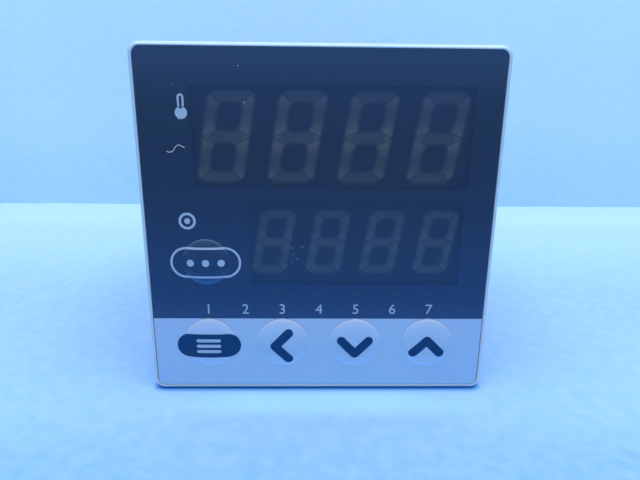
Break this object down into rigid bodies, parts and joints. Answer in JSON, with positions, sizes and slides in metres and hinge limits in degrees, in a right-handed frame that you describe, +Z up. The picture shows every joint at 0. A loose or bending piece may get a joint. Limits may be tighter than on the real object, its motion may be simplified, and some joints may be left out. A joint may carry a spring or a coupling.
{
  "type": "pid temperature controller",
  "caption": "Square panel-mount process temperature controller: embossed keypad film with sprung keys, dark displays, deep plastic case and barrier screw terminals at the rear.",
  "frame": {"origin": "centre of the bezel's rear plane, where the case leaves the bezel and the panel cut-out begins", "axes": "+Z up, +Y from the operator into the panel along the case, +X to the right as seen from the front"},
  "size_m": [0.048, 0.0714, 0.048],
  "materials": {
    "overlay_film": "embossed polyester film, satin, printed on the back",
    "case_plastic": "fine texture, moulded",
    "gasket_rubber": "soft, matt",
    "display_plastic": "matt dark face",
    "segment_epoxy": "clear to milky filling, unlit",
    "light_guide_plastic": "clear moulding",
    "led_epoxy": "small chips, unlit",
    "key_plastic": "light moulded keys under the film",
    "switch_plastic": "satin",
    "circuit_board": "glass-epoxy laminate with solder mask",
    "connector_plastic": "satin",
    "relay_plastic": "satin moulded cases",
    "chip_plastic": "matt",
    "ferrite": "sintered, dull",
    "copper_winding": "enamelled wire",
    "capacitor_sleeve": "shrink sleeve over an aluminium can",
    "film_capacitor_case": "satin",
    "terminal_plastic": "flame-retardant moulding, satin",
    "terminal_brass": "plated, slightly dull",
    "screw_steel": "zinc plated"
  },
  "bodies": {
    "controller_case": {"board_headers": "connector_plastic", "card_sockets": "connector_plastic", "control_card": "circuit_board", "display_board": "circuit_board", "film_capacitors": "film_capacitor_case", "front_bezel": "case_plastic", "front_overlay": "overlay_film", "indicator_leds": "led_epoxy", "indicator_light_guide": "light_guide_plastic", "input_capacitor": "capacitor_sleeve", "microcontroller": "chip_plastic", "output_relays": "relay_plastic", "panel_gasket": "gasket_rubber", "power_card": "circuit_board", "pv_display_housing": "display_plastic", "pv_display_segments": "segment_epoxy", "rear_card": "circuit_board", "rear_case": "case_plastic", "sp_display_housing": "display_plastic", "sp_display_segments": "segment_epoxy", "tactile_switches": "switch_plastic", "terminal_block": "terminal_plastic", "terminal_plates": "terminal_brass", "terminal_screws": "screw_steel", "transformer_core": "ferrite", "transformer_winding": "copper_winding"},
    "mode_button": {"mode_key": "key_plastic", "mode_switch_stem": "switch_plastic"},
    "parameter_button": {"parameter_key": "key_plastic", "parameter_switch_stem": "switch_plastic"},
    "shift_button": {"shift_key": "key_plastic", "shift_switch_stem": "switch_plastic"},
    "down_button": {"down_key": "key_plastic", "down_switch_stem": "switch_plastic"},
    "up_button": {"up_key": "key_plastic", "up_switch_stem": "switch_plastic"}
  },
  "joints": [
    {"name": "mode_press", "type": "slide", "parent": "controller_case", "child": "mode_button", "axis": [0, 1, 0], "range_m": [0, 0.0003], "stiffness_N_per_m": 3000},
    {"name": "parameter_press", "type": "slide", "parent": "controller_case", "child": "parameter_button", "axis": [0, 1, 0], "range_m": [0, 0.0003], "stiffness_N_per_m": 3000},
    {"name": "shift_press", "type": "slide", "parent": "controller_case", "child": "shift_button", "axis": [0, 1, 0], "range_m": [0, 0.0003], "stiffness_N_per_m": 3000},
    {"name": "down_press", "type": "slide", "parent": "controller_case", "child": "down_button", "axis": [0, 1, 0], "range_m": [0, 0.0003], "stiffness_N_per_m": 3000},
    {"name": "up_press", "type": "slide", "parent": "controller_case", "child": "up_button", "axis": [0, 1, 0], "range_m": [0, 0.0003], "stiffness_N_per_m": 3000}
  ]
}
